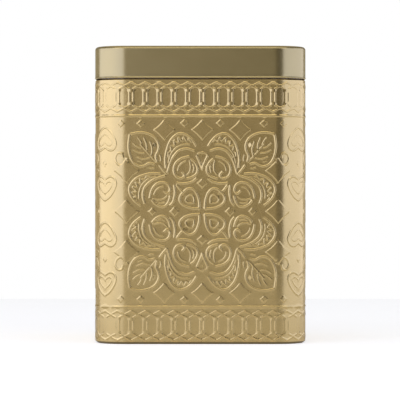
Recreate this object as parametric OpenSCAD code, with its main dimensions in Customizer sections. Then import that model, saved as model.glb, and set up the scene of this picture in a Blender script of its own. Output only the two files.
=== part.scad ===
// Square storage tin with a flush slip-over lid and an airtight plug lid inside.
// The origin is the centre of the foot, on the surface that the tin stands on. +Z points up.
// A ring of sheet metal is a profile carried round the tin, about its four upright corner axes.

/* [Overall] */
// Width and depth of the tin across the outer lid
tin_w = 100; // [80:1:140]
// Height from the surface to the top of the outer lid
tin_h = 140; // [100:1:220]
// Radius of the upright corners
corner_r = 15; // [10:0.5:18]

/* [Sheet metal] */
// Thickness of the tinplate in the wall, the base, the neck and both lids
sheet_t = 0.3; // [0.2:0.05:0.4]
// How far the plain face of the wall lies inside the face of the outer lid
wall_inset = 0.25; // [0.1:0.05:0.5]
// Outer radius of the bends in the wall's foot and shoulder
bend_r = 0.5; // [0.45:0.05:0.8]

/* [Wall] */
// Height of the pressed ornament above the plain face of the wall
relief_h = 0.4; // [0.2:0.05:0.6]
// Height of the centre of the lower bead above the surface
bead_low_z = 17.4; // [8:0.1:25]
// Distance from the shoulder down to the centre of the upper bead
bead_drop = 17.4; // [8:0.1:25]
// Width of a bead where it leaves the wall
bead_w = 1.6; // [1.3:0.1:3]
// Width of the folded lock seam at the back
seam_w = 5; // [3:0.5:8]
// Number of sheets folded onto the inside of the wall in the lock seam
seam_layers = 2; // [1:1:3]

/* [Base] */
// Height at which the base panel is recessed into the foot
base_recess = 3; // [2:0.1:6]
// Height of the inner lip of the foot channel
lip_h = 2.2; // [1.5:0.1:4]
// Thickness of the lining compound between the panel's flange and the lip
compound_t = 1; // [0.6:0.1:1.6]

/* [Neck] */
// Depth of the neck collar's skirt below the wall's shoulder
collar_depth = 10; // [5:0.5:20]
// Outer radius of the rolled edge at the top of the neck
roll_r = 0.8; // [0.6:0.05:1.2]

/* [Outer lid] */
// Height of the outer lid
lid_h = 15.2; // [14:0.1:22]
// Radius of the lid's top edge
lid_edge_r = 1.5; // [0.8:0.1:3]
// Outer radius of the curled hem
hem_r = 0.6; // [0.5:0.05:0.9]
// Clearance between the hem and the wall's shoulder
lid_gap = 0.2; // [0.1:0.05:0.8]
// Clearance between the hem and the neck that it slips over
slip_clearance = 0.3; // [0.2:0.05:0.6]

/* [Inner lid] */
// Space between the inner lid's flange and the top of the outer lid
flange_headroom = 5.1; // [4.5:0.1:7]
// Clearance between the plug and the rolled edge of the neck
plug_clearance = 0.3; // [0.2:0.05:0.6]
// How far the flange and the seal ring stay inside the neck's outer face
flange_inset = 0.2; // [0.1:0.05:0.5]
// Thickness of the seal ring
seal_t = 1; // [0.6:0.1:1.6]
// Clearance between the seal ring and the rolled edge that it rests on
seal_gap = 0.05; // [0.05:0.05:0.3]
// Height of the stiffening step pressed up in the floor
step_h = 0.8; // [0.4:0.1:1.5]
// Radius of the stiffening step
step_r = 26; // [16:1:30]

/* [Knob] */
// Space between the knob and the top of the outer lid
knob_headroom = 3.4; // [2:0.1:5]
// Height of the knob
knob_h = 7.6; // [6.6:0.2:10]
// Largest diameter of the knob
knob_d = 16; // [13:0.5:24]
// Thickness of the knob's rounded head
knob_head_t = 3.4; // [2.4:0.2:4]
// Diameter of the knob's stem
knob_stem_d = 8; // [7:0.5:10]
// Diameter of the knob's foot
knob_foot_d = 11; // [10.5:0.5:14]
// Height of the knob's foot
knob_foot_h = 1.2; // [0.8:0.1:2]

/* [Screw] */
// Diameter of the screw's thread
screw_d = 4; // [3:0.5:5]
// Length of the screw's shank
screw_len = 5.5; // [4:0.5:6]
// Diameter of the screw's head
screw_head_d = 7.6; // [6:0.2:10]
// Height of the screw's head
screw_head_h = 2.2; // [1.5:0.1:3]
// Diameter of the driver's hole in the screw's head
socket_d = 2.6; // [2:0.1:4]
// Depth of the driver's hole
socket_depth = 1.2; // [0.8:0.1:1.4]
// Clearance of the screw in the floor and in the washer, on the radius
screw_clearance = 0.2; // [0.1:0.05:0.4]
// Length of the knob's blind hole past the end of the screw
hole_extra = 0.6; // [0.3:0.1:1]
// Diameter of the washer
washer_d = 12; // [9:0.5:16]
// Thickness of the washer
washer_t = 0.8; // [0.5:0.1:1.5]

/* [Hidden] */
$fn = 72;

// Distance by which one stretch of a sheet runs into the next
join = 0.01;

gold = [0.70, 0.58, 0.33];
tinplate = [0.74, 0.72, 0.67];
brass = [0.76, 0.62, 0.34];
steel = [0.78, 0.78, 0.77];

// Distance of the corner axes from the middle of the tin
axis_at = tin_w / 2 - corner_r;

// Outer radius of each sheet about the corner axes, from the outside in
wall_r = corner_r - wall_inset;
flange_out_r = wall_r - sheet_t;
compound_r = flange_out_r - sheet_t;
lip_r = compound_r - compound_t;
neck_r = corner_r - 2 * hem_r - slip_clearance;
plug_r = neck_r - 2 * roll_r - plug_clearance;
rim_r = neck_r - flange_inset;

// Heights of the wall and the outer lid
hem_z = tin_h - lid_h;
shoulder_z = hem_z - lid_gap;
lid_inside_z = tin_h - sheet_t;

// Heights of the inner lid, from the space left under the outer lid
rim_z = lid_inside_z - flange_headroom - sheet_t;
seal_z = rim_z - seal_t;
neck_top_z = seal_z - seal_gap;
knob_z = lid_inside_z - knob_headroom - knob_h;
raised_floor_z = knob_z - sheet_t;
floor_z = raised_floor_z - step_h;
washer_z = raised_floor_z - washer_t;

// Radius of the arc that gives a bead its width and its height
bead_r = (pow(bead_w / 2, 2) + pow(relief_h, 2)) / (2 * relief_h);

// Carries a profile round the tin: x is the distance from a corner axis, y is the height
module around() {
    for (turn = [0 : 90 : 270])
        rotate(turn)
            translate([axis_at, axis_at, 0]) {
                rotate_extrude(angle = 90) children();
                rotate([90, 0, 0]) linear_extrude(2 * axis_at) children();
            }
}

// Flat panel with the tin's rounded corners, at radius r about the corner axes
module panel(r, z) {
    translate([0, 0, z])
        linear_extrude(sheet_t) {
            square([2 * (axis_at + r), 2 * axis_at], center = true);
            square([2 * axis_at, 2 * (axis_at + r)], center = true);
            for (x = [-axis_at, axis_at], y = [-axis_at, axis_at])
                translate([x, y]) circle(r);
        }
}

// Upright stretch in a profile, with its outer face at r
module upright(r, z0, z1, t = sheet_t) {
    translate([r - t, z0]) square([t, z1 - z0]);
}

// Level stretch in a profile, with its underside at z
module level(r0, r1, z, t = sheet_t) {
    translate([r0, z]) square([r1 - r0, t]);
}

// Closed curl of sheet in a profile, with outer radius size
module curl(r, z, size) {
    translate([r, z])
        difference() {
            circle(size);
            circle(size - sheet_t);
        }
}

// Quarter of a curl, on the side that out and up point to (1 or -1)
module bend(r, z, size, out, up) {
    intersection() {
        curl(r, z, size);
        translate([r + out * size / 2, z + up * size / 2]) square(size, center = true);
    }
}

// Raised bead on the outside of the wall
module bead(z) {
    intersection() {
        translate([wall_r + relief_h - bead_r, z]) circle(bead_r);
        level(wall_r - join, wall_r + relief_h, z - bead_w, 2 * bead_w);
    }
}

// The wall is one sheet: lip, foot, outer face and shoulder
module wall_profile() {
    lip_inside_r = lip_r - sheet_t;
    upright(lip_r, bend_r, lip_h);
    bend(lip_inside_r + bend_r, bend_r, bend_r, -1, -1);
    level(lip_inside_r + bend_r, wall_r - bend_r, 0);
    bend(wall_r - bend_r, bend_r, bend_r, 1, -1);
    upright(wall_r, bend_r, shoulder_z - bend_r);
    bend(wall_r - bend_r, shoulder_z - bend_r, bend_r, 1, 1);
    level(neck_r, wall_r - bend_r, shoulder_z - sheet_t);
    bead(bead_low_z);
    bead(shoulder_z - bead_drop);
}

// Sheets folded onto the inside of the wall, at the back
module lock_seam() {
    seam_t = seam_layers * sheet_t;
    low = base_recess + sheet_t;
    high = shoulder_z - collar_depth;
    translate([-seam_w / 2, axis_at + flange_out_r - seam_t, low])
        cube([seam_w, seam_t + join, high - low]);
}

module body_wall() {
    color(gold) {
        around() wall_profile();
        lock_seam();
    }
}

// Recessed panel with a flange turned down into the foot channel
module base_panel() {
    color(tinplate) {
        around() upright(flange_out_r, bend_r, base_recess + sheet_t);
        panel(compound_r, base_recess);
    }
}

module seam_compound() {
    color([0.30, 0.31, 0.30]) around() upright(compound_r, bend_r, lip_h, compound_t);
}

// The collar is one sheet: skirt, step and neck with a rolled edge
module neck_collar() {
    step_z = shoulder_z - bend_r;
    color(tinplate)
        around() {
            upright(flange_out_r, shoulder_z - collar_depth, step_z);
            level(neck_r - sheet_t, flange_out_r, step_z - sheet_t);
            upright(neck_r, step_z - sheet_t, neck_top_z - roll_r);
            curl(neck_r - roll_r, neck_top_z - roll_r, roll_r);
        }
}

module outer_lid() {
    top_r = corner_r - lid_edge_r;
    color(gold) {
        panel(top_r + join, lid_inside_z);
        around() {
            bend(top_r, tin_h - lid_edge_r, lid_edge_r, 1, 1);
            upright(corner_r, hem_z + hem_r, tin_h - lid_edge_r);
            curl(corner_r - hem_r, hem_z + hem_r, hem_r);
        }
    }
}

// Hole that the screw passes through
module screw_hole(z, depth) {
    translate([0, 0, z - join]) cylinder(r = screw_d / 2 + screw_clearance, h = depth + 2 * join);
}

// Plug with a flange, and a floor with a round stiffening step
module inner_lid() {
    color(tinplate)
        difference() {
            union() {
                around() {
                    level(plug_r - sheet_t, rim_r, rim_z);
                    upright(plug_r, floor_z, rim_z + join);
                }
                panel(plug_r, floor_z);
                translate([0, 0, floor_z]) cylinder(r = step_r, h = step_h + sheet_t);
            }
            translate([0, 0, floor_z - join]) cylinder(r = step_r - sheet_t, h = step_h + join);
            screw_hole(raised_floor_z, sheet_t);
        }
}

module seal_ring() {
    color([0.86, 0.86, 0.82]) around() level(plug_r, rim_r, seal_z, seal_t);
}

// Turned knob with a blind hole that the screw's thread fills
module lid_knob() {
    head_r = knob_head_t / 2;
    hole_depth = screw_len - washer_t - sheet_t + hole_extra;
    color(brass)
        translate([0, 0, knob_z])
            rotate_extrude()
                difference() {
                    union() {
                        square([knob_foot_d / 2, knob_foot_h]);
                        square([knob_stem_d / 2, knob_h - head_r]);
                        translate([0, knob_h - knob_head_t])
                            square([knob_d / 2 - head_r, knob_head_t]);
                        translate([knob_d / 2 - head_r, knob_h - head_r]) circle(head_r);
                    }
                    translate([0, -join]) square([screw_d / 2, hole_depth + join]);
                }
}

module knob_washer() {
    color(steel)
        difference() {
            translate([0, 0, washer_z]) cylinder(d = washer_d, h = washer_t);
            screw_hole(washer_z, washer_t);
        }
}

module knob_screw() {
    color(steel)
        translate([0, 0, washer_z])
            difference() {
                union() {
                    cylinder(d = screw_d, h = screw_len);
                    translate([0, 0, -screw_head_h]) cylinder(d = screw_head_d, h = screw_head_h);
                }
                translate([0, 0, -screw_head_h - join])
                    cylinder(d = socket_d, h = socket_depth + join, $fn = 6);
            }
}

body_wall();
base_panel();
seam_compound();
neck_collar();
outer_lid();
inner_lid();
seal_ring();
lid_knob();
knob_washer();
knob_screw();
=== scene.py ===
"""Visual model of a square embossed tin with a slip-over lid and a plug lid, built round its CAD frame."""

import math

import bmesh
import bpy
import numpy as np
from mathutils import Matrix, Vector
from mathutils.geometry import delaunay_2d_cdt


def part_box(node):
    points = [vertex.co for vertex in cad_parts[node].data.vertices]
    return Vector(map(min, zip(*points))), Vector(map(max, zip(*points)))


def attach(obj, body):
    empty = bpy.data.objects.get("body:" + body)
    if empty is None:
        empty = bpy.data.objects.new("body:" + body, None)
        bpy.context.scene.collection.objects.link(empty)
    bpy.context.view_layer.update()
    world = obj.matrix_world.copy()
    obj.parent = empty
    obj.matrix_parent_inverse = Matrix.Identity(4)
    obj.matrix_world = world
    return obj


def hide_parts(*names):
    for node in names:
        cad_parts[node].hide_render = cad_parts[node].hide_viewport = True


bl_info = {
    "name": "Embossed Tin",
    "version": (1, 0, 0),
    "blender": (4, 5, 0),
    "location": "View3D > Sidebar > Tin",
    "description": "Builds an embossed square tin, its two lids and a small studio round them",
    "category": "Add Mesh",
}

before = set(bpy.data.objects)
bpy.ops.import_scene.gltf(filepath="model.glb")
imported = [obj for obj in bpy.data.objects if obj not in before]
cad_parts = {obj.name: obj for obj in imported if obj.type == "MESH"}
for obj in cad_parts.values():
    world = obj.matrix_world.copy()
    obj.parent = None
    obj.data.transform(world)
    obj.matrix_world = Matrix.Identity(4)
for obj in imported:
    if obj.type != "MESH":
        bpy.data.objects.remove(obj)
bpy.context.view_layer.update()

# Shapes are drawn in millimetres and scaled to metres when a piece is finished.
MM = 0.001
UP = Vector((0, 0, 1))


def box_mm(node):
    """Lowest and highest corner of a CAD node, in millimetres."""
    low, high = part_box(node)
    return low / MM, high / MM


LID_LOW, LID_HIGH = box_mm("outer_lid")
WALL_HIGH = box_mm("body_wall")[1]
NECK_LOW, NECK_HIGH = box_mm("neck_collar")
RIM_LOW, RIM_HIGH = box_mm("inner_lid")
BASE_HIGH = box_mm("base_panel")[1]
SEAL_LOW, SEAL_HIGH = box_mm("seal_ring")
KNOB_LOW, KNOB_HIGH = box_mm("lid_knob")
WASHER_LOW, WASHER_HIGH = box_mm("knob_washer")
SCREW_LOW, SCREW_HIGH = box_mm("knob_screw")

# The pressed pattern: heights are shares of the relief, and widths run from a line's middle to its foot.
FINE_HEIGHT, LINK_HEIGHT, BEAD_HEIGHT, STAR_HEIGHT = 0.6, 0.85, 1.2, 0.85
LINK_WIDTH, BEAD_WIDTH = 0.66, 0.8
BEAD_Y = 44.8
SQUEEZE = 0.0018
TILT_STEP = 0.02

# Least distance between two points of the pattern, and between a point and the border of its tile.
POINT_GAP, BORDER_GAP = 0.22, 0.3
# Where a tile begins to bend round the corner, with closer points.
BEND_X = 33.5

# Vertices nearer than these become one.
WELD, WALL_WELD = 0.002, 0.004
SHARP_ANGLE = math.radians(40)
# Strips of sheet beside each corner, which keep its shading from spreading over the sides.
CORNER_STRIP = 0.8


# -------- settings


def length(name, description, default_mm):
    """A length property that is given in millimetres and kept in metres."""
    return bpy.props.FloatProperty(
        name=name, description=description, default=default_mm * MM, min=0,
        subtype="DISTANCE", unit="LENGTH",
    )


def colour(name, description, default):
    return bpy.props.FloatVectorProperty(
        name=name, description=description, default=default, min=0, max=1, size=3, subtype="COLOR"
    )


def factor(name, description, default):
    return bpy.props.FloatProperty(
        name=name, description=description, default=default, min=0, max=1, subtype="FACTOR"
    )


class TinShape(bpy.types.PropertyGroup):
    corner_radius: length("Corner Radius", "Radius of the upright corners of the lid", 15)
    sheet: length("Sheet", "Thickness of the tinplate", 0.3)
    foot_bend: length("Foot Bend", "Height of the slanting bend at the foot", 1.0)
    shoulder_bend: length("Shoulder Bend", "Height of the slanting bend at the shoulder", 0.6)
    compound: length("Compound", "Thickness of the lining compound in the foot channel", 1)
    lip_height: length("Lip Height", "Height of the inner lip of the foot channel", 2.2)
    lid_edge: length("Lid Edge", "Radius of the top edge of the lid", 1.5)
    hem_radius: length("Hem Radius", "Outer radius of the curled hem of the lid", 0.6)
    slip: length("Slip Clearance", "Clearance between the hem and the neck", 0.3)
    roll_radius: length("Roll Radius", "Outer radius of the rolled edge of the neck", 0.8)
    plug_clearance: length("Plug Clearance", "Clearance between the plug and the rolled edge", 0.3)
    step_radius: length("Step Radius", "Radius of the stiffening step in the plug's floor", 26)
    step_height: length("Step Height", "Height of the stiffening step", 0.8)
    seam_width: length("Seam Width", "Width of the lock seam at the back", 5)


class TinOrnament(bpy.types.PropertyGroup):
    relief: length("Relief", "Height of the pressed lines above the wall", 0.19)
    line: length("Bold Line", "Half the width of a bold pressed line at its foot", 0.72)
    fine_line: length("Fine Line", "Half the width of a fine pressed line at its foot", 0.5)
    slope: length("Slope", "Width of the slope round a raised star", 0.68)
    shift: length("Shift", "How far the pattern sits to the right of the middle of each side", 0.9)
    seam_gap: length("Seam Gap", "Half the width of the plain strip at the lock seam", 4.2)


class TinFinish(bpy.types.PropertyGroup):
    lid_gold: colour("Lid Gold", "Colour of the gold lacquer on the lid", (0.61, 0.486, 0.232))
    lid_roughness: factor("Lid Roughness", "Roughness of the lacquer on the lid", 0.25)
    wall_gold: colour("Wall Gold", "Colour of the gold lacquer on the pressed wall", (0.82, 0.600, 0.250))
    wall_roughness: factor("Wall Roughness", "Roughness of the lacquer on the pressed wall", 0.24)
    plate: colour("Tinplate", "Colour of the plain tinplate", (0.72, 0.70, 0.65))


# -------- curves


def arc(cx, cy, radius, start, end, step=0.8):
    """Points along a circular arc, with angles in degrees."""
    steps = max(2, round(abs(math.radians(end - start)) * radius / step))
    angles = [math.radians(start + (end - start) * i / steps) for i in range(steps + 1)]
    return [(cx + radius * math.cos(a), cy + radius * math.sin(a)) for a in angles]


def between(a, b, c, d, t):
    """One coordinate of a smooth curve through a, b, c and d, at share t of the way from b to c."""
    bend = (3 * b - a - 3 * c + d) * t**3
    return 0.5 * (2 * b + (c - a) * t + (2 * a - 5 * b + 4 * c - d) * t**2 + bend)


def spline(points, step=0.9):
    """A smooth line through the points, in steps of about the given length."""
    first = tuple(2 * a - b for a, b in zip(points[0], points[1]))
    last = tuple(2 * a - b for a, b in zip(points[-1], points[-2]))
    run = [first, *points, last]
    line = []
    for p0, p1, p2, p3 in zip(run, run[1:], run[2:], run[3:]):
        steps = max(1, round(math.dist(p1, p2) / step))
        for i in range(steps):
            line.append(tuple(between(*near, i / steps) for near in zip(p0, p1, p2, p3)))
    return [*line, tuple(points[-1])]


def star(cx, cy, rx, ry, dent=0.11, steps=5):
    """Outline of a diamond whose four sides curve inward."""
    tips = [(rx, 0), (0, ry), (-rx, 0), (0, -ry)]
    outline = []
    for (ax, ay), (bx, by) in zip(tips, tips[1:] + tips[:1]):
        for i in range(steps):
            t = i / steps
            pull = 1 - 4 * dent * t * (1 - t)
            outline.append((cx + pull * (ax * (1 - t) + bx * t), cy + pull * (ay * (1 - t) + by * t)))
    return outline


def both_sides(lines):
    """The lines and their mirror images across the diagonal of the medallion."""
    return lines + [[(y, x) for x, y in line] for line in lines]


# -------- ornament
# One quarter of a side is drawn, in millimetres from the middle of the side: x to the right, y up.


def heart_leaf():
    """Large heart-shaped leaf that points to the corner of the medallion: its bold and its fine lines."""
    half = spline([
        (35.9, 36.3), (31.5, 37), (27, 36.5), (23.2, 34.6), (21.3, 31.6),
        (21.4, 28.6), (22.7, 26), (22.1, 23.4),
    ])
    veins = [
        spline([(25, 26), (24.5, 29.2), (25.6, 32.6)]),
        spline([(27.4, 28.6), (27.5, 31.4), (28.8, 34.4)]),
        spline([(29.6, 30.4), (30.4, 32.6), (32, 34.6)]),
        [(23.3, 30), (23.7, 32)],
    ]
    midrib = spline([(22.6, 23.2), (26, 26.6), (30.6, 31.4)])
    return both_sides([half]), both_sides(veins) + [midrib]


def leaf_stem():
    """Stem between the heart-shaped leaf and the branches, with a small leaf on each side."""
    stem = spline([(17.2, 17.6), (18.9, 19.2), (20.8, 21.6)])
    return [stem], both_sides([spline([(20.6, 26.4), (20.1, 25), (20.2, 23.6)])])


def acanthus():
    """Curved leaf on each side of the diagonal, with a wavy frill along its back."""
    back = spline([
        (2.8, 30.6), (4.5, 33.2), (6.8, 35.4), (9.8, 36.6), (12.4, 36), (15.3, 33.2),
        (17, 29.2), (17.9, 24.6), (17.6, 20.4),
    ])
    belly = spline([
        (3.8, 28.4), (6.4, 29.3), (8.8, 29.3), (11.6, 28.2), (14, 25.4), (15.6, 22), (16.7, 18.2),
    ])
    rib = spline([(6, 31.3), (9, 31.3), (12.6, 29.7), (15.2, 26.4), (16.3, 22.8)])
    frill = spline([
        (5, 32.4), (6.4, 34), (7.2, 32.7), (8.8, 35), (9.4, 32.8), (11.4, 34.7), (11.4, 32.2),
        (13.6, 33.1), (13.2, 30.7), (15.2, 30.8), (14.9, 28.4), (16.3, 27.6), (16.2, 25.4),
    ], 0.7)
    return both_sides([back, belly]), both_sides([rib, frill])


def scroll():
    """Rolled leaf on each side of the diagonal, nearer to the middle."""
    curl = spline([
        (6.3, 25.8), (10, 24.8), (12.8, 22.5), (13.7, 19.2), (12.5, 16.4),
        (9.8, 15.5), (8.4, 17), (9.6, 18.5),
    ])
    bract = spline([(5.2, 24.5), (3.6, 23.2), (2.2, 20.4), (2.5, 17.9), (4.6, 16.2), (7.2, 15.4)])
    inner = spline([(6, 23.8), (5.5, 21.4), (5.8, 18.8), (7.2, 17)])
    tail = spline([(2.8, 15.4), (4.8, 13.9), (8.6, 13.1), (12.2, 13.4)])
    folds = [
        spline([(7.8, 23.6), (9.8, 22.6), (11.2, 20.8), (11.6, 19)]),
        spline([(4.3, 22.2), (3.8, 20.2), (4.3, 18.2)]),
    ]
    return both_sides([curl, bract, tail]), both_sides([inner, *folds])


def centre_heart():
    """Heart whose tip points to the middle, with its stem."""
    half = spline([(1.3, 1.3), (1.5, 5), (2.9, 8.9), (5.2, 10.8), (7.6, 10.3), (8.9, 8.9)])
    inner = spline([(3.9, 3.9), (3.9, 6.4), (5.3, 8), (7, 7)])
    stem = spline([(8.9, 8.9), (10.4, 10.1), (12, 12.2)])
    return both_sides([half]) + [stem], both_sides([inner])


def bud():
    """Half of the small fan above the middle."""
    fan = [spline([(2.5, 25.8), (2.1, 27), (0, 27.7)]), [(0, 23.2), (0, 25.6)]]
    return [spline([(0, 19.8), (1.1, 22.8), (2.5, 25.8)])], fan


def corner_hearts(edge):
    """Right half of the hearts and the vine that run up each corner of the tin."""
    upper = [(0, 39.6), (2.6, 38), (4.9, 35), (6, 31.8), (5.2, 29.4), (3, 28.6), (0, 30)]
    lower = [(0, 5), (2.6, 6.6), (4.9, 9.6), (6.1, 12.9), (5.2, 15.4), (3, 16.4), (0, 15)]
    vine = [
        (9.4, 25.2), (8.7, 27.3), (6.8, 27.2), (5.7, 25), (6.5, 22.6), (8.6, 21.4), (10.8, 22.6),
        (11.6, 24.6),
    ]
    upper_veins = [(0, 36.4), (2.4, 34.6), (3.9, 32.2), (3.1, 30.9), (1.4, 31.2), (0, 32.6)]
    lower_veins = [(0, 8.2), (2.4, 10), (4, 12.6), (3.1, 13.9), (1.4, 13.6), (0, 12.2)]
    groups = (upper, lower, vine), (upper_veins, lower_veins)
    return [[[(edge - x, y) for x, y in spline(shape)] for shape in group] for group in groups]


def chain(edge, low=46.7, high=60.5, links=14, bar=3.9):
    """Border of overlapping six-sided links, with one on the middle of the side and one on the corner."""
    pitch = 2 * edge / links
    half_width = pitch - 0.9
    bar_step, slant_step = 1.9, 1.1
    middle = (low + high) / 2
    lines = []
    for i in range(-1, links // 2 + 2):
        centre = i * pitch
        for side in (-1, 1):
            x = centre + side * half_width
            lines.append(resampled([(x, middle - bar), (x, middle + bar)], bar_step))
            lines.append(resampled([(centre, high), (x, middle + bar)], slant_step))
            lines.append(resampled([(centre, low), (x, middle - bar)], slant_step))
    return lines


def resampled(line, step):
    """A straight or broken line with points at even steps."""
    points = [line[0]]
    for a, b in zip(line, line[1:]):
        steps = max(1, round(math.dist(a, b) / step))
        for i in range(1, steps + 1):
            points.append((a[0] + (b[0] - a[0]) * i / steps, a[1] + (b[1] - a[1]) * i / steps))
    return points


def squeezed(lines):
    """The medallion is drawn square, and pressed a little narrower towards its sides."""
    return [[(x - SQUEEZE * x * x, y) for x, y in line] for line in lines]


def pressed_lines(edge, ornament):
    """Every pressed line as (points, half width, height, whether its ends are free)."""
    bold_width, fine_width = ornament.line / MM, ornament.fine_line / MM
    medallion = heart_leaf(), leaf_stem(), acanthus(), scroll(), centre_heart(), bud()
    drawn = [(squeezed(bold), squeezed(fine)) for bold, fine in medallion]
    lines = []
    for bold, fine in [*drawn, corner_hearts(edge)]:
        lines += [(line, bold_width, 1.0, True) for line in bold]
        lines += [(line, fine_width, FINE_HEIGHT, True) for line in fine]
    lines += [(line, LINK_WIDTH, LINK_HEIGHT, False) for line in chain(edge)]
    lines.append((resampled([(0, BEAD_Y), (edge, BEAD_Y)], 2.0), BEAD_WIDTH, BEAD_HEIGHT, False))
    return lines


def raised_stars(edge):
    """Outlines of the stars, each given by its middle and its half width and half height."""
    stars = [(0, 38.3, 5.1, 4.9), (17.8, 38.2, 5.1, 4.9), (8.4, 41.4, 1.9, 1.8), (28.9, 41.2, 1.9, 1.8)]
    stars += [(38.2, 41.2, 1.7, 1.8), (35.6, 0, 6.0, 5.8), (35.6, 19.1, 6.0, 5.8)]
    stars += [(0, 13.2, 2.5, 2.4), (13.0, 0, 2.3, 2.3), (23.4, 0, 1.7, 1.9), (edge, 22.6, 1.3, 1.5)]
    return [star(*s) for s in stars]


# -------- pressed sheet


def distance_to(points, starts, ends):
    """Distance of each point to the nearest of the stretches between starts and ends."""
    best = np.full(len(points), 1e9)
    for a, b in zip(starts, ends):
        along = b - a
        t = np.clip(((points - a) @ along) / max(along @ along, 1e-9), 0, 1)
        best = np.minimum(best, np.hypot(*(points - a - t[:, None] * along).T))
    return best


def inside(points, outline):
    """Which points lie inside a closed outline."""
    hit = np.zeros(len(points), bool)
    for (ax, ay), (bx, by) in zip(outline, outline[1:] + outline[:1]):
        if ay == by:
            continue
        crosses = (ay > points[:, 1]) != (by > points[:, 1])
        at = ax + (points[:, 1] - ay) * (bx - ax) / (by - ay)
        hit ^= crosses & (points[:, 0] < at)
    return hit


def smooth(t):
    """A step from 0 to 1 that starts and ends level."""
    t = np.clip(t, 0, 1)
    return t * t * (3 - 2 * t)


def relief_at(points, lines, stars, slope):
    """Height of the pressed pattern at each point, from 0 to about 1."""
    height = np.zeros(len(points))
    for line, width, crest, _ in lines:
        run = np.array(line)
        near = ((points > run.min(0) - width) & (points < run.max(0) + width)).all(1)
        if near.any():
            away = distance_to(points[near], run[:-1], run[1:])
            height[near] = np.maximum(height[near], crest * smooth(1 - away / width))
    for outline in stars:
        run = np.array(outline)
        near = ((points > run.min(0) - slope) & (points < run.max(0) + slope)).all(1)
        if near.any():
            away = distance_to(points[near], run, np.roll(run, -1, 0))
            depth = np.where(inside(points[near], outline), away, -away)
            pad = STAR_HEIGHT * smooth(0.5 + depth / slope)
            height[near] = np.maximum(height[near], pad)
    return height


def rows_beside(line, offsets):
    """The points of a line, moved sideways by each offset in turn."""
    run = np.array(line)
    along = np.gradient(run, axis=0)
    along /= np.maximum(np.hypot(*along.T), 1e-9)[:, None]
    across = np.stack([-along[:, 1], along[:, 0]], 1)
    return [run + across * offset for offset in offsets]


def tile_points(lines, stars, edge, top, slope, extra):
    """Points for one quarter of a side, close together on the pattern and sparse between."""
    bar = [y for x, y in chain(edge)[0]]
    apart = 0.8
    rows = [*np.linspace(0, bar[0] - apart, 62), *bar, *np.linspace(bar[-1] + apart, top, 4)]
    groups = [
        [(x, 0) for x in np.linspace(0, edge, 60)] + [(x, 0.0) for x in extra],
        [(x, y) for y in rows for x in (0, edge)],
        [(x, top) for x in [0, *extra, *range(7, 32, 4), *np.linspace(34.2, edge, 11)]],
    ]
    for shares in ([0], [-0.5, 0.5], [-1, 1]):
        for line, width, _, _ in lines:
            groups += rows_beside(line, [share * width for share in shares])
    for line, width, _, free in lines:
        if free:
            for tip, before in ((line[0], line[1]), (line[-1], line[-2])):
                facing = math.atan2(tip[1] - before[1], tip[0] - before[0])
                fan = [facing + turn for turn in (0, -0.9, 0.9)]
                groups.append([(tip[0] + width * math.cos(a), tip[1] + width * math.sin(a)) for a in fan])
    for outline in stars:
        closed = resampled([*outline, outline[0]], 1.0)
        groups += rows_beside(closed, [-0.5 * slope, 0.5 * slope, 0])
        centre = np.mean(outline, 0)
        groups.append([centre + (np.array(p) - centre) * k for k in (0.3, 0.6) for p in outline[::3]])
    kept, cells = [], {}

    def add(x, y, gap):
        if not (0 <= x <= edge and 0 <= y <= top):
            return
        margin = min(x, y, edge - x, top - y)
        if 1e-6 <= margin < BORDER_GAP:
            return
        cx, cy = int(x / 3), int(y / 3)
        for i in range(cx - 1, cx + 2):
            for j in range(cy - 1, cy + 2):
                if any(math.hypot(px - x, py - y) < gap for px, py in cells.get((i, j), ())):
                    return
        cells.setdefault((cx, cy), []).append((x, y))
        kept.append((x, y))

    for group in groups:
        for x, y in group:
            add(float(x), float(y), POINT_GAP)
    for x in np.arange(1.0, edge, 1.15):
        for y in np.arange(1.5, top, 2.6):
            if x > BEND_X:
                add(float(x), float(y), 0.75)
    for i, y in enumerate(np.arange(1.5, top, 2.4)):
        for x in np.arange(1.2 + 1.4 * (i % 2), edge, 2.8):
            add(float(x), float(y), 1.7)
    return kept


# -------- sheet metal


class Tin:
    """Sizes of the tin in millimetres, from the CAD frame and from the shape settings."""

    def __init__(self, shape):
        for key in shape.__annotations__:
            setattr(self, key, getattr(shape, key) / MM)
        self.axis = LID_HIGH.x - self.corner_radius
        self.lid_r = self.corner_radius
        self.neck_r = self.lid_r - 2 * self.hem_radius - self.slip
        self.plug_r = self.neck_r - 2 * self.roll_radius - self.plug_clearance
        self.flange_r = BASE_HIGH.x - self.axis
        self.wall_r = self.flange_r + self.sheet
        self.compound_r = self.flange_r - self.sheet
        self.lip_r = self.compound_r - self.compound
        self.rim_r = RIM_HIGH.x - self.axis
        self.shoulder_z = WALL_HIGH.z
        self.middle_z = self.shoulder_z / 2
        self.edge = self.axis + math.pi / 4 * self.wall_r

    def place(self, along, r, z):
        """Point at a distance round the wall from the front's middle, at radius r about the corners."""
        side = round(along / (2 * self.edge))
        s = along - 2 * self.edge * side
        over = abs(s) - self.axis
        if over <= 0:
            flat = Vector((s, -self.axis - r, z))
        else:
            turn = over / self.wall_r
            x = math.copysign(self.axis + r * math.sin(turn), s)
            flat = Vector((x, -self.axis - r * math.cos(turn), z))
        return Matrix.Rotation(side * math.pi / 2, 3, "Z") @ flat


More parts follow.
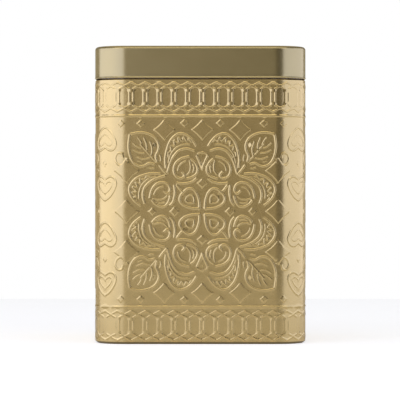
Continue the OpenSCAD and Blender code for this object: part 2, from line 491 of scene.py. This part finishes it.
def bent(corners, step=0.16):
    """A line through corners given as (r, z, bend radius), with an arc at each bend."""
    line = [corners[0][:2]]
    for before, (x, y, radius), after in zip(corners, corners[1:], corners[2:]):
        here = Vector((x, y))
        back = (Vector(before[:2]) - here).normalized()
        on = (Vector(after[:2]) - here).normalized()
        if radius == 0:
            line.append((x, y))
            continue
        half = back.angle(on) / 2
        centre = here + (back + on).normalized() * radius / math.sin(half)
        start = here + back * radius / math.tan(half) - centre
        end = here + on * radius / math.tan(half) - centre
        sweep = start.angle_signed(end)
        steps = max(2, round(abs(sweep) * radius / step))
        for i in range(steps + 1):
            spoke = start.copy()
            spoke.rotate(Matrix.Rotation(-sweep * i / steps, 2))
            line.append(tuple(centre + spoke))
    return [*line, corners[-1][:2]]


def beside(line, thickness):
    """The other face of a sheet whose first face is the line. Positive thickness is to the left."""
    run = np.array(line)
    steps = np.diff(run, axis=0)
    steps /= np.hypot(*steps.T)[:, None]
    before = np.vstack([steps[:1], steps])
    after = np.vstack([steps, steps[-1:]])
    mean = before + after
    mean /= np.hypot(*mean.T)[:, None]
    stretch = np.clip((mean * before).sum(1), 0.3, 1)
    across = np.stack([-mean[:, 1], mean[:, 0]], 1) / stretch[:, None]
    return [tuple(p) for p in run + across * thickness]


def verts_of(geom):
    return [g for g in geom if isinstance(g, bmesh.types.BMVert)]


def edges_of(geom):
    return [g for g in geom if isinstance(g, bmesh.types.BMEdge)]


def new_line(bm, points, closed):
    """Vertices joined by edges, for an operator to carry or turn."""
    verts = [bm.verts.new(p) for p in points]
    pairs = list(zip(verts, verts[1:]))
    if closed:
        pairs.append((verts[-1], verts[0]))
    return [*verts, *[bm.edges.new(pair) for pair in pairs]]


def carry(bm, tin, line, closed=False, corner_steps=20):
    """Carries a profile of (r, z) points round the tin: along each side and about each corner axis."""
    a = tin.axis
    geom = new_line(bm, [(a + r, -a, z) for r, z in line], closed)
    for turn in range(4):
        facing = Matrix.Rotation(turn * math.pi / 2, 3, "Z")
        for run in (CORNER_STRIP, 2 * a - 2 * CORNER_STRIP, CORNER_STRIP):
            grown = bmesh.ops.extrude_edge_only(bm, edges=edges_of(geom))["geom"]
            verts = verts_of(grown)
            bmesh.ops.translate(bm, verts=verts, vec=facing @ Vector((0, run, 0)))
            ends = set(verts)
            geom = [*verts, *[e for e in edges_of(grown) if e.is_boundary and set(e.verts) <= ends]]
        corner = facing @ Vector((a, a, 0))
        spun = bmesh.ops.spin(bm, geom=geom, cent=corner, axis=UP, angle=math.pi / 2, steps=corner_steps)
        geom = spun["geom_last"]
    bmesh.ops.remove_doubles(bm, verts=bm.verts, dist=WELD)


def turned(bm, profile, steps=64):
    """Spins a profile of (r, z) points a full turn about the upright axis."""
    geom = new_line(bm, [(r, 0, z) for r, z in profile], False)
    full = 2 * math.pi
    bmesh.ops.spin(bm, geom=geom, cent=(0, 0, 0), axis=UP, angle=full, steps=steps, use_merge=True)
    bmesh.ops.remove_doubles(bm, verts=bm.verts, dist=WELD)


def open_loop(bm, z):
    """The open edges that lie at one height."""
    return [e for e in bm.edges if e.is_boundary and all(abs(v.co.z - z) < 0.005 for v in e.verts)]


def fill_panel(bm, z, margin=0.8):
    """Closes the opening at one height with a flat panel."""
    face = bmesh.ops.edgeloop_fill(bm, edges=open_loop(bm, z))["faces"]
    bmesh.ops.inset_individual(bm, faces=face, thickness=margin, use_even_offset=True)


def finish_piece(bm, name, coats, body, node):
    """Makes the piece's object, in metres, in place of its CAD node."""
    bmesh.ops.recalc_face_normals(bm, faces=bm.faces)
    if bm.calc_volume(signed=True) < 0:
        bmesh.ops.reverse_faces(bm, faces=bm.faces)
    bmesh.ops.scale(bm, vec=(MM, MM, MM), verts=bm.verts)
    mesh = bpy.data.meshes.new(name)
    bm.to_mesh(mesh)
    bm.free()
    mesh.shade_smooth()
    mesh.set_sharp_from_angle(angle=SHARP_ANGLE)
    if "pressed" in mesh.attributes:
        normals = np.empty(3 * len(mesh.vertices), np.float32)
        mesh.attributes["pressed"].data.foreach_get("vector", normals)
        mesh.attributes.remove(mesh.attributes["pressed"])
        mesh.normals_split_custom_set_from_vertices(normals.reshape(-1, 3))
    for coat in coats:
        mesh.materials.append(bpy.data.materials[coat])
    piece = bpy.data.objects.new(name, mesh)
    bpy.context.scene.collection.objects.link(piece)
    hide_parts(node)
    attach(piece, body)
    return piece


def pressed_sheet(bm, tin, ornament, low):
    """The pressed face of all four sides, from its lower to its upper edge, wrapped round the tin."""
    top = tin.middle_z - low
    slope, relief, shift = (getattr(ornament, k) / MM for k in ("slope", "relief", "shift"))
    lines = pressed_lines(tin.edge, ornament)
    stars = raised_stars(tin.edge)
    seam = tin.seam_width / 2
    points = tile_points(lines, stars, tin.edge, top, slope, (seam - shift, seam + shift))
    at = np.array(points)
    heights = relief_at(at, lines, stars, slope)
    tilts = np.stack([
        (relief_at(at + way, lines, stars, slope) - relief_at(at - way, lines, stars, slope))
        / (2 * TILT_STEP)
        for way in ((TILT_STEP, 0), (0, TILT_STEP))
    ], 1)
    flat, _, faces, _, _, _ = delaunay_2d_cdt([Vector(p) for p in points], [], [], 0, 1e-5)

    along = bm.verts.layers.float.new("along")
    pressed = bm.verts.layers.float_vector.new("pressed")
    verts = [bm.verts.new((p.x, p.y, h)) for p, h in zip(flat, heights)]
    for vert, (tilt_x, tilt_y) in zip(verts, tilts):
        vert[pressed] = (tilt_x, tilt_y, 0)
    for face in faces:
        bm.faces.new([verts[i] for i in face])
    for side in ("X", "Y"):
        bmesh.ops.mirror(bm, geom=[*bm.verts, *bm.edges, *bm.faces], merge_dist=0.001, axis=side)
    bmesh.ops.recalc_face_normals(bm, faces=bm.faces)
    for vert in bm.verts:
        tilt = vert[pressed]
        vert[pressed] = (math.copysign(1, vert.co.x) * tilt.x, math.copysign(1, vert.co.y) * tilt.y, 0)
    panel = [*bm.verts, *bm.edges, *bm.faces]
    for i in range(1, 4):
        copy = bmesh.ops.duplicate(bm, geom=panel)["geom"]
        bmesh.ops.translate(bm, verts=verts_of(copy), vec=(2 * tin.edge * i, 0, 0))
    gap, fade = ornament.seam_gap / MM, 1.2
    for vert in bm.verts:
        s = vert.co.x + shift
        plain = smooth((abs(s - 4 * tin.edge) - gap) / fade)
        z = tin.middle_z + vert.co.y
        vert[along] = s
        out = tin.place(s, 1, 0) - tin.place(s, 0, 0)
        tilt = vert[pressed] * float(relief * plain)
        vert[pressed] = (out - tilt.x * UP.cross(out) - tilt.y * UP).normalized()
        vert.co = tin.place(s, tin.wall_r + relief * vert.co.z * plain, z)
    bmesh.ops.remove_doubles(bm, verts=bm.verts, dist=WALL_WELD)


def grow(bm, tin, edges, path, material):
    """Extends the wall from an open edge along a path of (r, z) points."""
    for r, z in path:
        grown = bmesh.ops.extrude_edge_only(bm, edges=edges)["geom"]
        verts = verts_of(grown)
        for face in (g for g in grown if isinstance(g, bmesh.types.BMFace)):
            face.material_index = material
        for vert in verts:
            vert.co = tin.place(vert[bm.verts.layers.float["along"]], r, z)
            vert[bm.verts.layers.float_vector["pressed"]] = (0, 0, 0)
        ends = set(verts)
        edges = [e for e in edges_of(grown) if set(e.verts) <= ends]
    return edges


# -------- finishes

# Nearly all of a noise's values lie between these two.
NOISE_LOW, NOISE_HIGH = 0.3, 0.7


def put(node, values):
    """Sets a node's inputs by their names."""
    for name, value in values.items():
        node.inputs[name].default_value = value


def new_material(name, metallic, roughness, base):
    """The shader of a material that has nothing else in its node tree but the output."""
    material = bpy.data.materials.get(name) or bpy.data.materials.new(name)
    material.use_nodes = True
    nodes = material.node_tree.nodes
    nodes.clear()
    output = nodes.new("ShaderNodeOutputMaterial")
    shader = nodes.new("ShaderNodeBsdfPrincipled")
    put(shader, {"Metallic": metallic, "Roughness": roughness, "Base Color": (*base, 1)})
    material.node_tree.links.new(shader.outputs["BSDF"], output.inputs["Surface"])
    return shader


def noise(shader, scale, detail=3.0, stretch=(1, 1, 1)):
    """Noise on Object coordinates, stretched along the axes."""
    tree = shader.id_data
    place = tree.nodes.new("ShaderNodeTexCoord")
    mapping = tree.nodes.new("ShaderNodeMapping")
    put(mapping, {"Scale": stretch})
    texture = tree.nodes.new("ShaderNodeTexNoise")
    put(texture, {"Scale": scale, "Detail": detail})
    tree.links.new(place.outputs["Object"], mapping.inputs["Vector"])
    tree.links.new(mapping.outputs["Vector"], texture.inputs["Vector"])
    return texture.outputs["Fac"]


def mapped(tree, source, *ends):
    """A value carried over from one range to another, given by the ends of both."""
    node = tree.nodes.new("ShaderNodeMapRange")
    put(node, dict(zip(("From Min", "From Max", "To Min", "To Max"), ends)))
    tree.links.new(source, node.inputs["Value"])
    return node.outputs["Result"]


def sum_of(tree, operation, source, number):
    """A sum on a value, with a fixed number as its second term."""
    node = tree.nodes.new("ShaderNodeMath")
    node.operation = operation
    node.inputs[1].default_value = number
    tree.links.new(source, node.inputs[0])
    return node


def spread(shader, source, low, high):
    """Varies the roughness with a texture, between low and high."""
    tree = shader.id_data
    tree.links.new(mapped(tree, source, NOISE_LOW, NOISE_HIGH, low, high), shader.inputs["Roughness"])


def tint(shader, source, first, second):
    """Varies the colour with a texture, between two colours."""
    tree = shader.id_data
    ramp = tree.nodes.new("ShaderNodeValToRGB")
    for end, place, base in zip(ramp.color_ramp.elements, (NOISE_LOW, NOISE_HIGH), (first, second)):
        end.position = place
        end.color = (*base, 1)
    tree.links.new(source, ramp.inputs["Fac"])
    tree.links.new(ramp.outputs["Color"], shader.inputs["Base Color"])


def bump(shader, source, depth_mm):
    """Adds a fine unevenness to the surface."""
    tree = shader.id_data
    node = tree.nodes.new("ShaderNodeBump")
    put(node, {"Strength": 1, "Distance": depth_mm * MM})
    tree.links.new(source, node.inputs["Height"])
    tree.links.new(node.outputs["Normal"], shader.inputs["Normal"])


def shade(base, share):
    """A colour made darker or lighter."""
    return tuple(min(1, part * share) for part in base)


def gold_lacquer(name, gold, roughness):
    """Satin gold lacquer with slight unevenness in colour and gloss."""
    shader = new_material(name, 1.0, roughness, gold)
    put(shader, {"Coat Weight": 0.15, "Coat Roughness": 0.25})
    cloud = noise(shader, 60)
    tint(shader, cloud, shade(gold, 0.985), shade(gold, 1.015))
    sheen = noise(shader, 180, 5)
    spread(shader, sheen, roughness - 0.01, roughness + 0.015)
    bump(shader, noise(shader, 1500, 2), 0.0002)


def tinplate(finish):
    """Rolled tinplate, with fine lines along the rolling direction."""
    plate = tuple(finish.plate)
    shader = new_material("tinplate", 1.0, 0.34, plate)
    grain = noise(shader, 260, 4, (1, 1, 0.03))
    tint(shader, grain, shade(plate, 0.94), shade(plate, 1.04))
    spread(shader, grain, 0.28, 0.40)
    bump(shader, noise(shader, 900, 3, (1, 1, 0.02)), 0.0015)


def can_compound():
    """Dull dark sealing compound."""
    shader = new_material("can_compound", 0.0, 0.75, (0.03, 0.032, 0.03))
    lumps = noise(shader, 500, 4)
    tint(shader, lumps, (0.024, 0.026, 0.024), (0.05, 0.052, 0.05))
    spread(shader, lumps, 0.65, 0.85)
    bump(shader, lumps, 0.03)


def silicone():
    """Matte off-white silicone."""
    base = (0.78, 0.77, 0.72)
    shader = new_material("silicone", 0.0, 0.5, base)
    put(shader, {"Sheen Weight": 0.15})
    cloud = noise(shader, 300, 3)
    tint(shader, cloud, shade(base, 0.95), shade(base, 1.03))
    spread(shader, cloud, 0.45, 0.58)
    bump(shader, noise(shader, 2200, 2), 0.002)


def turned_metal(name, base, roughness):
    """Metal with the fine rings that a lathe leaves."""
    shader = new_material(name, 1.0, roughness, base)
    tree = shader.id_data
    place = tree.nodes.new("ShaderNodeTexCoord")
    rings = tree.nodes.new("ShaderNodeTexWave")
    rings.wave_type = "RINGS"
    rings.rings_direction = "Z"
    put(rings, {"Scale": 1400, "Distortion": 1.5, "Detail": 2})
    tree.links.new(place.outputs["Object"], rings.inputs["Vector"])
    bump(shader, rings.outputs["Fac"], 0.002)
    cloud = noise(shader, 700, 4)
    tint(shader, cloud, shade(base, 0.93), shade(base, 1.04))
    spread(shader, cloud, roughness - 0.04, roughness + 0.06)


# -------- studio


def softbox(name, bearing, height, distance, width, tall, radiance, light_colour):
    """A rectangular lamp that faces the tin, at a bearing in degrees from the front towards the right."""
    turn = math.radians(bearing)
    data = bpy.data.lights.new(name, "AREA")
    data.shape = "RECTANGLE"
    data.size, data.size_y = width, tall
    data.energy = radiance * math.pi * width * tall
    data.color = light_colour
    lamp = bpy.data.objects.new(name, data)
    lamp.location = (distance * math.sin(turn), -distance * math.cos(turn), height)
    aim = Vector((0, 0, 0.07)) if distance else Vector((0, 0, 0))
    lamp.rotation_euler = (aim - lamp.location).to_track_quat("-Z", "Y").to_euler()
    lamp.visible_camera = False
    bpy.context.scene.collection.objects.link(lamp)


def room():
    """White to the eye, and for reflections a room whose walls differ in brightness round the tin."""
    world = bpy.data.worlds.new("studio")
    bpy.context.scene.world = world
    world.use_nodes = True
    tree = world.node_tree
    nodes, links = tree.nodes, tree.links
    nodes.clear()
    seen = nodes.new("ShaderNodeBackground")
    put(seen, {"Color": (1, 1, 1, 1)})
    walls = nodes.new("ShaderNodeBackground")
    place = nodes.new("ShaderNodeTexCoord")
    parts = nodes.new("ShaderNodeSeparateXYZ")
    flip = sum_of(tree, "MULTIPLY", parts.outputs["Y"], -1)
    bearing = nodes.new("ShaderNodeMath")
    bearing.operation = "ARCTAN2"
    share = mapped(tree, bearing.outputs["Value"], -math.pi, math.pi, 0, 1)
    ramp = nodes.new("ShaderNodeValToRGB")
    # Brightness of the walls against the bearing in degrees, from the front towards the right.
    stops = [
        (-180, 0.60), (-140, 0.50), (-110, 0.32), (-60, 0.32), (-16, 0.10), (-9, 0.30), (-5.5, 0.50),
        (-3.5, 0.31), (4, 0.24), (9, 0.10), (28, 0.10), (40, 0.10), (110, 0.18), (140, 0.42), (180, 0.50),
    ]
    green, blue = 0.94, 0.78
    elements = ramp.color_ramp.elements
    while len(elements) < len(stops):
        elements.new(0.5)
    for element, (angle, _) in zip(elements, stops):
        element.position = (angle + 180) / 360
    for element, (_, level) in zip(elements, stops):
        element.color = (level, level * green, level * blue, 1)
    ray = nodes.new("ShaderNodeLightPath")
    mix = nodes.new("ShaderNodeMixShader")
    output = nodes.new("ShaderNodeOutputWorld")
    links.new(place.outputs["Generated"], parts.inputs["Vector"])
    links.new(parts.outputs["X"], bearing.inputs[0])
    links.new(flip.outputs["Value"], bearing.inputs[1])
    links.new(share, ramp.inputs["Fac"])
    links.new(ramp.outputs["Color"], walls.inputs["Color"])
    tilt, below, above = 0.12, 1.38, 0.62
    links.new(mapped(tree, parts.outputs["Z"], -tilt, tilt, below, above), walls.inputs["Strength"])
    links.new(ray.outputs["Is Camera Ray"], mix.inputs["Fac"])
    links.new(walls.outputs["Background"], mix.inputs[1])
    links.new(seen.outputs["Background"], mix.inputs[2])
    links.new(mix.outputs["Shader"], output.inputs["Surface"])


# -------- operators


class TIN_OT_finishes(bpy.types.Operator):
    """Make the lacquer, the tinplate and the other finishes"""

    bl_idname = "tin.finishes"
    bl_label = "Finishes"

    def execute(self, context):
        finish = context.scene.tin_finish
        gold_lacquer("lid_lacquer", tuple(finish.lid_gold), finish.lid_roughness)
        gold_lacquer("wall_lacquer", tuple(finish.wall_gold), finish.wall_roughness)
        # The foot gets a darker copy of the wall lacquer: painted shade for the contact shadow and the dark
        # reflection under the foot.
        foot_shade, duller = 0.45, 0.1
        gold_lacquer("foot_painted_shade", shade(finish.wall_gold, foot_shade), finish.wall_roughness + duller)
        tinplate(finish)
        can_compound()
        silicone()
        turned_metal("turned_brass", (0.80, 0.60, 0.30), 0.24)
        turned_metal("zinc_plate", (0.72, 0.72, 0.70), 0.32)
        return {"FINISHED"}


class TIN_OT_wall(bpy.types.Operator):
    """Build the embossed wall, with its foot and its shoulder"""

    bl_idname = "tin.wall"
    bl_label = "Embossed Wall"

    def execute(self, context):
        tin, ornament = Tin(context.scene.tin_shape), context.scene.tin_ornament
        t = tin.sheet
        clear, foot_slant, shoulder_slant = 0.1, 1.4, 1.75
        low = tin.foot_bend + clear
        high = tin.shoulder_z - low
        bm = bmesh.new()
        pressed_sheet(bm, tin, ornament, low)
        lip_in = tin.lip_r - t
        foot = [
            (tin.wall_r, low), (tin.wall_r, tin.foot_bend), (tin.wall_r - foot_slant * tin.foot_bend, 0),
            (lip_in, 0), (lip_in, tin.lip_height),
        ]
        shoulder = [
            (tin.wall_r, high), (tin.wall_r, tin.shoulder_z - tin.shoulder_bend),
            (tin.wall_r - shoulder_slant * tin.shoulder_bend, tin.shoulder_z), (tin.neck_r, tin.shoulder_z),
        ]
        inner = [
            *reversed(beside(foot, -t)), (tin.flange_r, BASE_HIGH.z), (tin.flange_r, NECK_LOW.z),
            *beside(shoulder, t),
        ]
        foot = bent([(r, z, k) for (r, z), k in zip(foot, (0, 0.15, 0.15, 0.2, 0))])
        shoulder = bent([(r, z, k) for (r, z), k in zip(shoulder, (0, 0.15, 0.15, 0))])
        # Material 2, on the foot's bend and underside, is the darker lacquer that paints shade at the foot.
        lower = grow(bm, tin, open_loop(bm, low), foot[1:], 2)
        grow(bm, tin, lower, inner, 1)
        upper = grow(bm, tin, open_loop(bm, high), shoulder[1:], 0)
        grow(bm, tin, upper, [(tin.neck_r, tin.shoulder_z - t)], 1)
        bmesh.ops.remove_doubles(bm, verts=bm.verts, dist=WALL_WELD)
        bmesh.ops.recalc_face_normals(bm, faces=bm.faces)

        # The seam's folded sheets stand proud on the inside, at the back.
        strip = [
            f for f in bm.faces
            if f.material_index == 1 and abs(f.calc_center_median().x) < tin.seam_width / 2
            and f.calc_center_median().y > tin.axis + tin.flange_r - clear
            and BASE_HIGH.z < f.calc_center_median().z < NECK_LOW.z
        ]
        raised = bmesh.ops.extrude_face_region(bm, geom=strip)["geom"]
        bmesh.ops.delete(bm, geom=strip, context="FACES")
        bmesh.ops.translate(bm, verts=verts_of(raised), vec=(0, -2 * t, 0))
        coats = ["wall_lacquer", "tinplate", "foot_painted_shade"]
        finish_piece(bm, "embossed_wall", coats, "tin", "body_wall")
        return {"FINISHED"}


class TIN_OT_base(bpy.types.Operator):
    """Build the recessed base panel and the compound that seals it"""

    bl_idname = "tin.base"
    bl_label = "Base"

    def execute(self, context):
        tin = Tin(context.scene.tin_shape)
        t = tin.sheet
        bm = bmesh.new()
        clear, bend, margin = 0.2, 0.45, 3
        face = bent([
            (tin.flange_r, tin.foot_bend + clear, 0), (tin.flange_r, BASE_HIGH.z, bend),
            (tin.flange_r - margin, BASE_HIGH.z, 0),
        ])
        carry(bm, tin, [*reversed(face), *beside(face, t)])
        fill_panel(bm, BASE_HIGH.z)
        fill_panel(bm, BASE_HIGH.z - t)
        finish_piece(bm, "recessed_base", ["tinplate"], "tin", "base_panel")

        bm = bmesh.new()
        low, high = tin.foot_bend, tin.lip_height
        round_off = 0.35
        bead = bent([
            (tin.lip_r, low, 0), (tin.compound_r, low, 0), (tin.compound_r, high, round_off),
            (tin.lip_r, high, round_off), (tin.lip_r, low, 0),
        ])
        carry(bm, tin, bead[:-1], closed=True)
        finish_piece(bm, "foot_compound", ["can_compound"], "tin", "seam_compound")
        return {"FINISHED"}


class TIN_OT_neck(bpy.types.Operator):
    """Build the neck collar with its rolled edge"""

    bl_idname = "tin.neck"
    bl_label = "Neck Collar"

    def execute(self, context):
        tin = Tin(context.scene.tin_shape)
        roll_z = NECK_HIGH.z - tin.roll_radius
        clear, outer_bend, inner_bend = 0.3, 0.6, 0.3
        roll_end, roll_step = 310, 0.2
        step_z = tin.shoulder_z - tin.sheet - clear
        face = bent([
            (tin.flange_r, NECK_LOW.z, 0), (tin.flange_r, step_z, outer_bend),
            (tin.neck_r, step_z, inner_bend), (tin.neck_r, roll_z, 0),
        ])
        face += arc(tin.neck_r - tin.roll_radius, roll_z, tin.roll_radius, 0, roll_end, roll_step)[1:]
        bm = bmesh.new()
        carry(bm, tin, [*face, *reversed(beside(face, tin.sheet))], closed=True)
        finish_piece(bm, "rolled_neck", ["tinplate"], "tin", "neck_collar")
        return {"FINISHED"}


class TIN_OT_outer_lid(bpy.types.Operator):
    """Build the lid that slips over the neck"""

    bl_idname = "tin.outer_lid"
    bl_label = "Outer Lid"

    def execute(self, context):
        tin = Tin(context.scene.tin_shape)
        top = LID_HIGH.z
        proud, curl_share, curl_start, curl_step, margin = 0.15, 0.7, -280, 0.12, 4
        side_r = tin.lid_r - proud
        curl_r = curl_share * tin.hem_radius
        hem_z = LID_LOW.z + curl_r
        curl = arc(tin.lid_r - curl_r, hem_z, curl_r, curl_start, 0, curl_step)
        neck_in = bent([
            (tin.lid_r, hem_z, 0), (tin.lid_r, hem_z + 0.08, 0.1),
            (side_r, hem_z + 0.35, 0.2), (side_r, hem_z + 2, 0),
        ])
        side = bent([(side_r, hem_z, 0), (side_r, top, tin.lid_edge), (tin.lid_r - margin, top, 0)])
        outline = [*curl, *neck_in[1:], (side_r, top - tin.lid_edge - 0.7), *side[1:]]
        bm = bmesh.new()
        carry(bm, tin, [*reversed(outline), *beside(outline, tin.sheet)], corner_steps=24)
        fill_panel(bm, top)
        fill_panel(bm, top - tin.sheet)
        bmesh.ops.recalc_face_normals(bm, faces=bm.faces)
        middle = Vector((0, 0, hem_z))
        for face in bm.faces:
            centre = face.calc_center_median()
            if centre.z > hem_z + curl_r and face.normal.dot(centre - middle) < 0:
                face.material_index = 1
        coats = ["lid_lacquer", "tinplate"]
        finish_piece(bm, "slip_over_lid", coats, "slip_lid", "outer_lid")
        return {"FINISHED"}


class TIN_OT_plug_lid(bpy.types.Operator):
    """Build the plug lid and its seal ring"""

    bl_idname = "tin.plug_lid"
    bl_label = "Plug Lid"

    def execute(self, context):
        tin = Tin(context.scene.tin_shape)
        t = tin.sheet
        floor_z, flange_z = RIM_LOW.z, RIM_HIGH.z - t
        rim_bend, floor_bend, step_bend, hole_r = 0.3, 0.8, 0.6, 2.2
        under = bent([
            (tin.rim_r, flange_z, 0), (tin.plug_r, flange_z, rim_bend), (tin.plug_r, floor_z, floor_bend),
            (tin.plug_r - 2, floor_z, 0),
        ])
        over = beside(under, -t)
        bm = bmesh.new()
        carry(bm, tin, [*reversed(under), *over])
        count = len(open_loop(bm, floor_z))
        step_low, step_high = floor_z + t, floor_z + tin.step_height + t
        slant = 0.4
        top_side = bent([
            (tin.step_radius + 2, step_low, 0), (tin.step_radius + slant, step_low, step_bend),
            (tin.step_radius - slant, step_high, step_bend), (tin.step_radius - 3, step_high, 0),
            (hole_r, step_high, 0),
        ])
        bottom_side = [(r, z - t) for r, z in top_side]
        turned(bm, [*top_side, *reversed(bottom_side)], steps=count)
        for z in (floor_z, floor_z + t):
            bmesh.ops.bridge_loops(bm, edges=open_loop(bm, z))
        finish_piece(bm, "plug_lid_panel", ["tinplate"], "plug_lid", "inner_lid")

        bm = bmesh.new()
        low, high, r0, r1 = SEAL_LOW.z, SEAL_HIGH.z, tin.plug_r, tin.rim_r
        middle = (r0 + r1) / 2
        ring = bent([
            (middle, low, 0), (r1, low, 0.3), (r1, high, 0.2), (r0, high, 0.1), (r0, low, 0.3),
            (middle, low, 0),
        ])
        carry(bm, tin, ring[:-1], closed=True)
        finish_piece(bm, "silicone_seal", ["silicone"], "plug_lid", "seal_ring")
        return {"FINISHED"}


class TIN_OT_knob(bpy.types.Operator):
    """Build the turned knob with its washer and screw"""

    bl_idname = "tin.knob"
    bl_label = "Knob"

    def execute(self, context):
        bore_r, clearance_r = 2.0, 2.2

        z0, z1, r = KNOB_LOW.z, KNOB_HIGH.z, KNOB_HIGH.x
        hole_z, tip, foot_r, foot_z, stem_r, waist_r = z0 + 5.0, 0.6, 5.5, z0 + 1.2, 4.0, 3.9
        head_z, head_bend, crown = z1 - 3.4, 1.5, 0.02
        profile = bent([
            (bore_r, hole_z, 0), (bore_r, z0, 0.1), (foot_r, z0, 0.15), (foot_r, foot_z, 0.5),
            (stem_r, foot_z, 0.6), (waist_r, head_z, 0.5), (r, head_z, head_bend), (r, z1, head_bend),
            (0.02, z1 - 0.1, 0),
        ])
        bm = bmesh.new()
        turned(bm, [(0, hole_z + tip), *profile[:-1], (stem_r, z1 - crown), (0, z1)], steps=72)
        finish_piece(bm, "turned_knob", ["turned_brass"], "plug_lid", "lid_knob")

        bm = bmesh.new()
        low, high, r = WASHER_LOW.z, WASHER_HIGH.z, WASHER_HIGH.x
        washer = bent([
            (4, low, 0), (r, low, 0.2), (r, high, 0.12), (clearance_r, high, 0.08),
            (clearance_r, low, 0.12), (4, low, 0),
        ])
        turned(bm, washer, steps=64)
        coats = ["zinc_plate"]
        finish_piece(bm, "knob_backing_washer", coats, "plug_lid", "knob_washer")

        bm = bmesh.new()
        low, high, r = SCREW_LOW.z, SCREW_HIGH.z, SCREW_HIGH.x
        head_z = WASHER_LOW.z
        rim_r, socket_r, socket_reach, socket_depth = 1.7, 1.3, 1.6, 1.2
        screw = bent([
            (rim_r, low, 0), (r, low, 0.8), (r, head_z, 0.15), (bore_r, head_z, 0.1), (bore_r, high, 0.4),
            (0.02, high, 0),
        ])
        turned(bm, [*screw[:-1], (0, high)], steps=60)

        def socket_edges():
            """The edges of the hexagon, which lie inside the open face of the head."""
            return [e for e in open_loop(bm, low) if all(v.co.xy.length < socket_reach for v in e.verts)]

        corner_r = socket_r / math.cos(math.pi / 6)
        bmesh.ops.create_circle(bm, segments=6, radius=corner_r, matrix=Matrix.Translation((0, 0, low)))
        bmesh.ops.subdivide_edges(bm, edges=socket_edges(), cuts=9)
        hexagon = socket_edges()
        bmesh.ops.bridge_loops(bm, edges=open_loop(bm, low))
        sides = bmesh.ops.extrude_edge_only(bm, edges=hexagon)["geom"]
        bmesh.ops.translate(bm, verts=verts_of(sides), vec=(0, 0, socket_depth))
        bmesh.ops.edgeloop_fill(bm, edges=open_loop(bm, low + socket_depth))
        finish_piece(bm, "pan_head_screw", coats, "plug_lid", "knob_screw")
        return {"FINISHED"}


class TIN_OT_studio(bpy.types.Operator):
    """Set out the floor, the soft lights and the camera"""

    bl_idname = "tin.studio"
    bl_label = "Studio"

    def execute(self, context):
        scene = context.scene
        floor_reach, camera_glow, mirror_gleam = 0.5, 0.585, 0.10
        bm = bmesh.new()
        bmesh.ops.create_grid(bm, x_segments=8, y_segments=8, size=floor_reach)
        mesh = bpy.data.meshes.new("studio_floor")
        bm.to_mesh(mesh)
        bm.free()
        floor = bpy.data.objects.new("studio_floor", mesh)
        scene.collection.objects.link(floor)
        shader = new_material("pale_paper", 0.0, 0.8, (0.86, 0.86, 0.86))
        put(shader, {"Specular IOR Level": 0.2, "Emission Color": (1, 1, 1, 1)})
        tint(shader, noise(shader, 6), (0.82, 0.84, 0.88), (0.84, 0.86, 0.90))
        tree = shader.id_data
        seen = tree.nodes.new("ShaderNodeLightPath")
        glow = sum_of(tree, "MULTIPLY", seen.outputs["Is Camera Ray"], camera_glow)
        gleam = sum_of(tree, "MULTIPLY_ADD", seen.outputs["Is Glossy Ray"], mirror_gleam)
        tree.links.new(glow.outputs["Value"], gleam.inputs[2])
        tree.links.new(gleam.outputs["Value"], shader.inputs["Emission Strength"])
        mesh.materials.append(bpy.data.materials["pale_paper"])

        cool, warm, neutral = (0.92, 1.02, 1.52), (1, 0.95, 0.84), (1, 0.98, 0.94)
        softbox("soft_left", -62, 0.25, 1.0, 2.6, 0.8, 0.92, cool)
        softbox("soft_right", 82, 0.25, 1.0, 2.4, 0.8, 0.78, cool)
        softbox("soft_front", 0, 0.85, 0.95, 2.2, 0.7, 0.80, neutral)
        softbox("soft_top", 0, 1.8, 0.0, 3.0, 3.0, 0.22, warm)
        room()

        scene.view_settings.view_transform = "Standard"

        camera = bpy.data.cameras.new("camera")
        camera.lens = 230.5
        camera.sensor_width = 36
        camera.clip_end = 20
        viewer = bpy.data.objects.new("camera", camera)
        viewer.location = (-0.00016, -1.25, 0.0676)
        viewer.rotation_euler = (math.pi / 2, 0, 0)
        scene.collection.objects.link(viewer)
        scene.camera = viewer
        return {"FINISHED"}


class TIN_PT_panel(bpy.types.Panel):
    """Lists the tin's settings and the steps that build it"""

    bl_idname = "TIN_PT_panel"
    bl_label = "Embossed Tin"
    bl_space_type = "VIEW_3D"
    bl_region_type = "UI"
    bl_category = "Tin"

    def draw(self, context):
        for group in (context.scene.tin_shape, context.scene.tin_ornament, context.scene.tin_finish):
            section = self.layout.box()
            for key in group.__annotations__:
                section.prop(group, key)
        for step in STEPS:
            self.layout.operator(step.bl_idname)


GROUPS = {"tin_shape": TinShape, "tin_ornament": TinOrnament, "tin_finish": TinFinish}
STEPS = [
    TIN_OT_finishes, TIN_OT_wall, TIN_OT_base, TIN_OT_neck, TIN_OT_outer_lid, TIN_OT_plug_lid, TIN_OT_knob,
    TIN_OT_studio,
]


def register():
    for cls in [*GROUPS.values(), *STEPS, TIN_PT_panel]:
        bpy.utils.register_class(cls)
    for name, cls in GROUPS.items():
        setattr(bpy.types.Scene, name, bpy.props.PointerProperty(type=cls))


def unregister():
    for name in GROUPS:
        delattr(bpy.types.Scene, name)
    for cls in reversed([*GROUPS.values(), *STEPS, TIN_PT_panel]):
        bpy.utils.unregister_class(cls)


def main():
    register()
    bpy.ops.tin.finishes()
    bpy.ops.tin.wall()
    bpy.ops.tin.base()
    bpy.ops.tin.neck()
    bpy.ops.tin.outer_lid()
    bpy.ops.tin.plug_lid()
    bpy.ops.tin.knob()
    bpy.ops.tin.studio()


if __name__ == "__main__":
    main()
